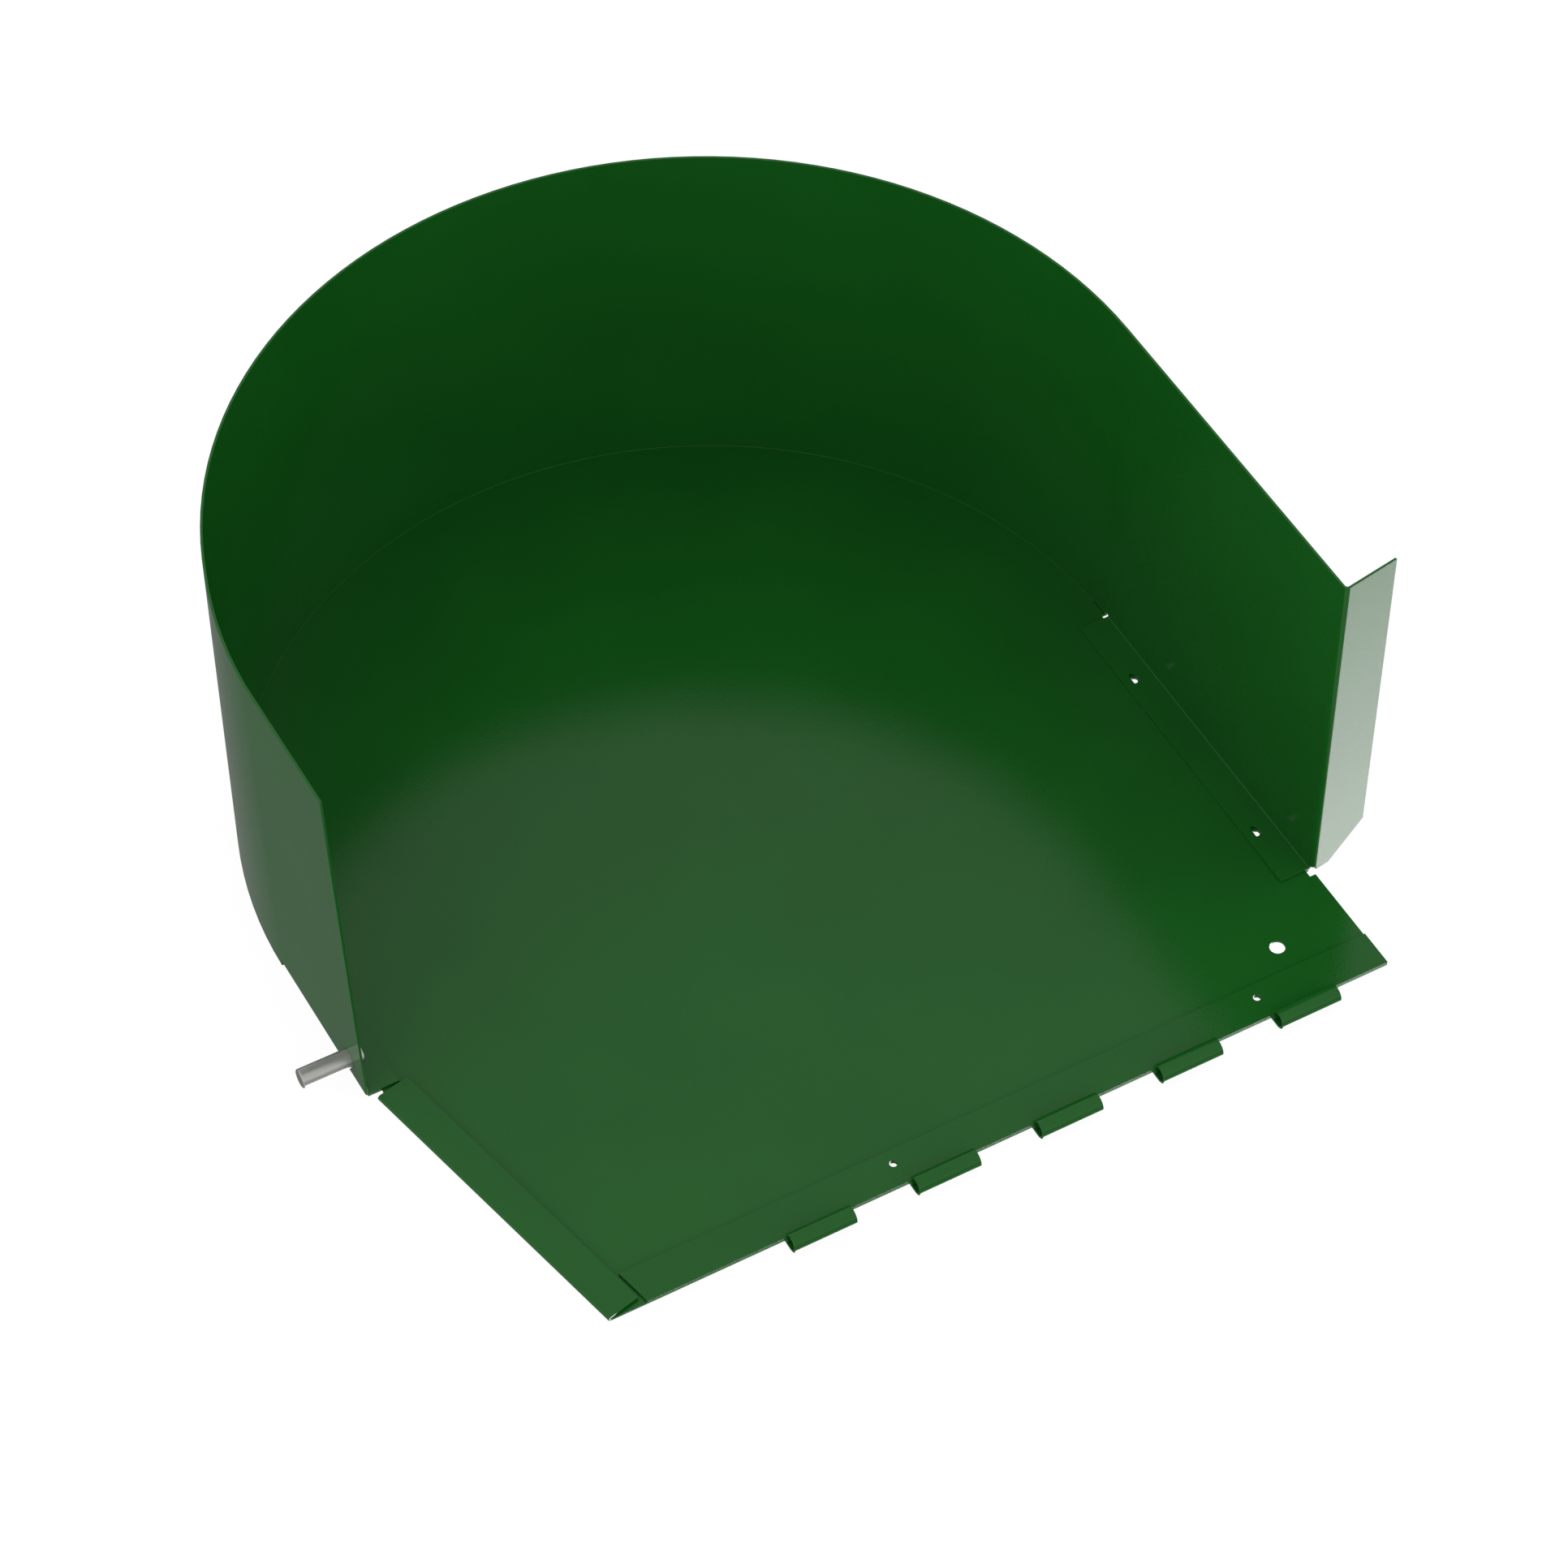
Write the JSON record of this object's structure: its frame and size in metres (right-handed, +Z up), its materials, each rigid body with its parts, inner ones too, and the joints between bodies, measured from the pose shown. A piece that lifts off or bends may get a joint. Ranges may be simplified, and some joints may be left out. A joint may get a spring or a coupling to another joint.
{
  "type": "hopper section",
  "caption": "Round-backed sheet-metal hopper section for a gravity wagon's discharge, with a hinge leaf along the open front and a stub pin on one side.",
  "frame": {"origin": "centre of the round back in plan, on the underside of the floor plate", "axes": "+X along the hinge towards the side with the front flange, +Y towards the round back, +Z up from the floor to the open rim"},
  "size_m": [0.7967, 0.768, 0.316],
  "materials": {
    "wall_paint": "gloss dark green paint",
    "floor_paint": "gloss dark green paint",
    "leaf_paint": "gloss dark green paint",
    "pin_steel": "bare satin steel"
  },
  "bodies": {
    "root": {"side_wall": "wall_paint", "floor_plate": "floor_paint", "hinge_leaf": "leaf_paint", "stub_pin": "pin_steel"}
  },
  "joints": []
}
